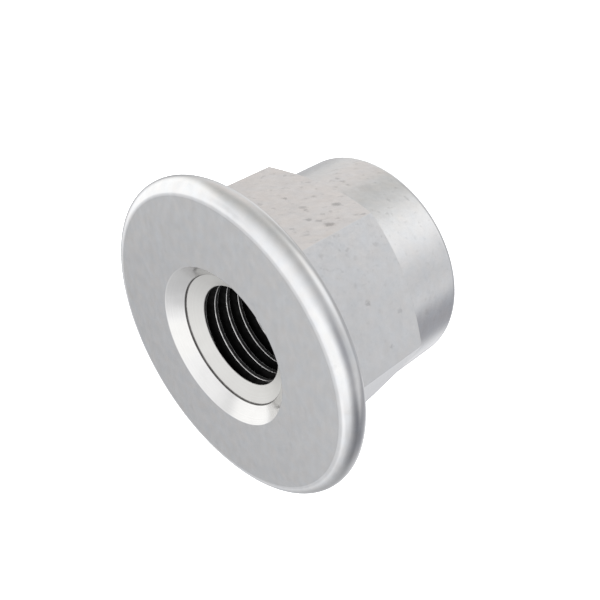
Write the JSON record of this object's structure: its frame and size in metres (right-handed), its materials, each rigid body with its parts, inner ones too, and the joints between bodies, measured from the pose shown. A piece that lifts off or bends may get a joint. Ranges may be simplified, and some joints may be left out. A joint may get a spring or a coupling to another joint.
{
  "type": "hex lock nut",
  "caption": "Hexagon lock nut with a wide round-edged flange, a countersunk recess in its bearing face and a long round locking collar.",
  "frame": {"origin": "centre of the flange's bearing face, on the thread axis", "axes": "+Z along the thread axis, out of the bearing face; +X square to one wrench flat; the nut stands on the end of its collar"},
  "size_m": [0.027, 0.027, 0.0175],
  "materials": {
    "zinc_plated_steel": "satin zinc plate with faint handling smudges and small dull spots"
  },
  "bodies": {
    "root": {"lock_nut": "zinc_plated_steel"}
  },
  "joints": []
}
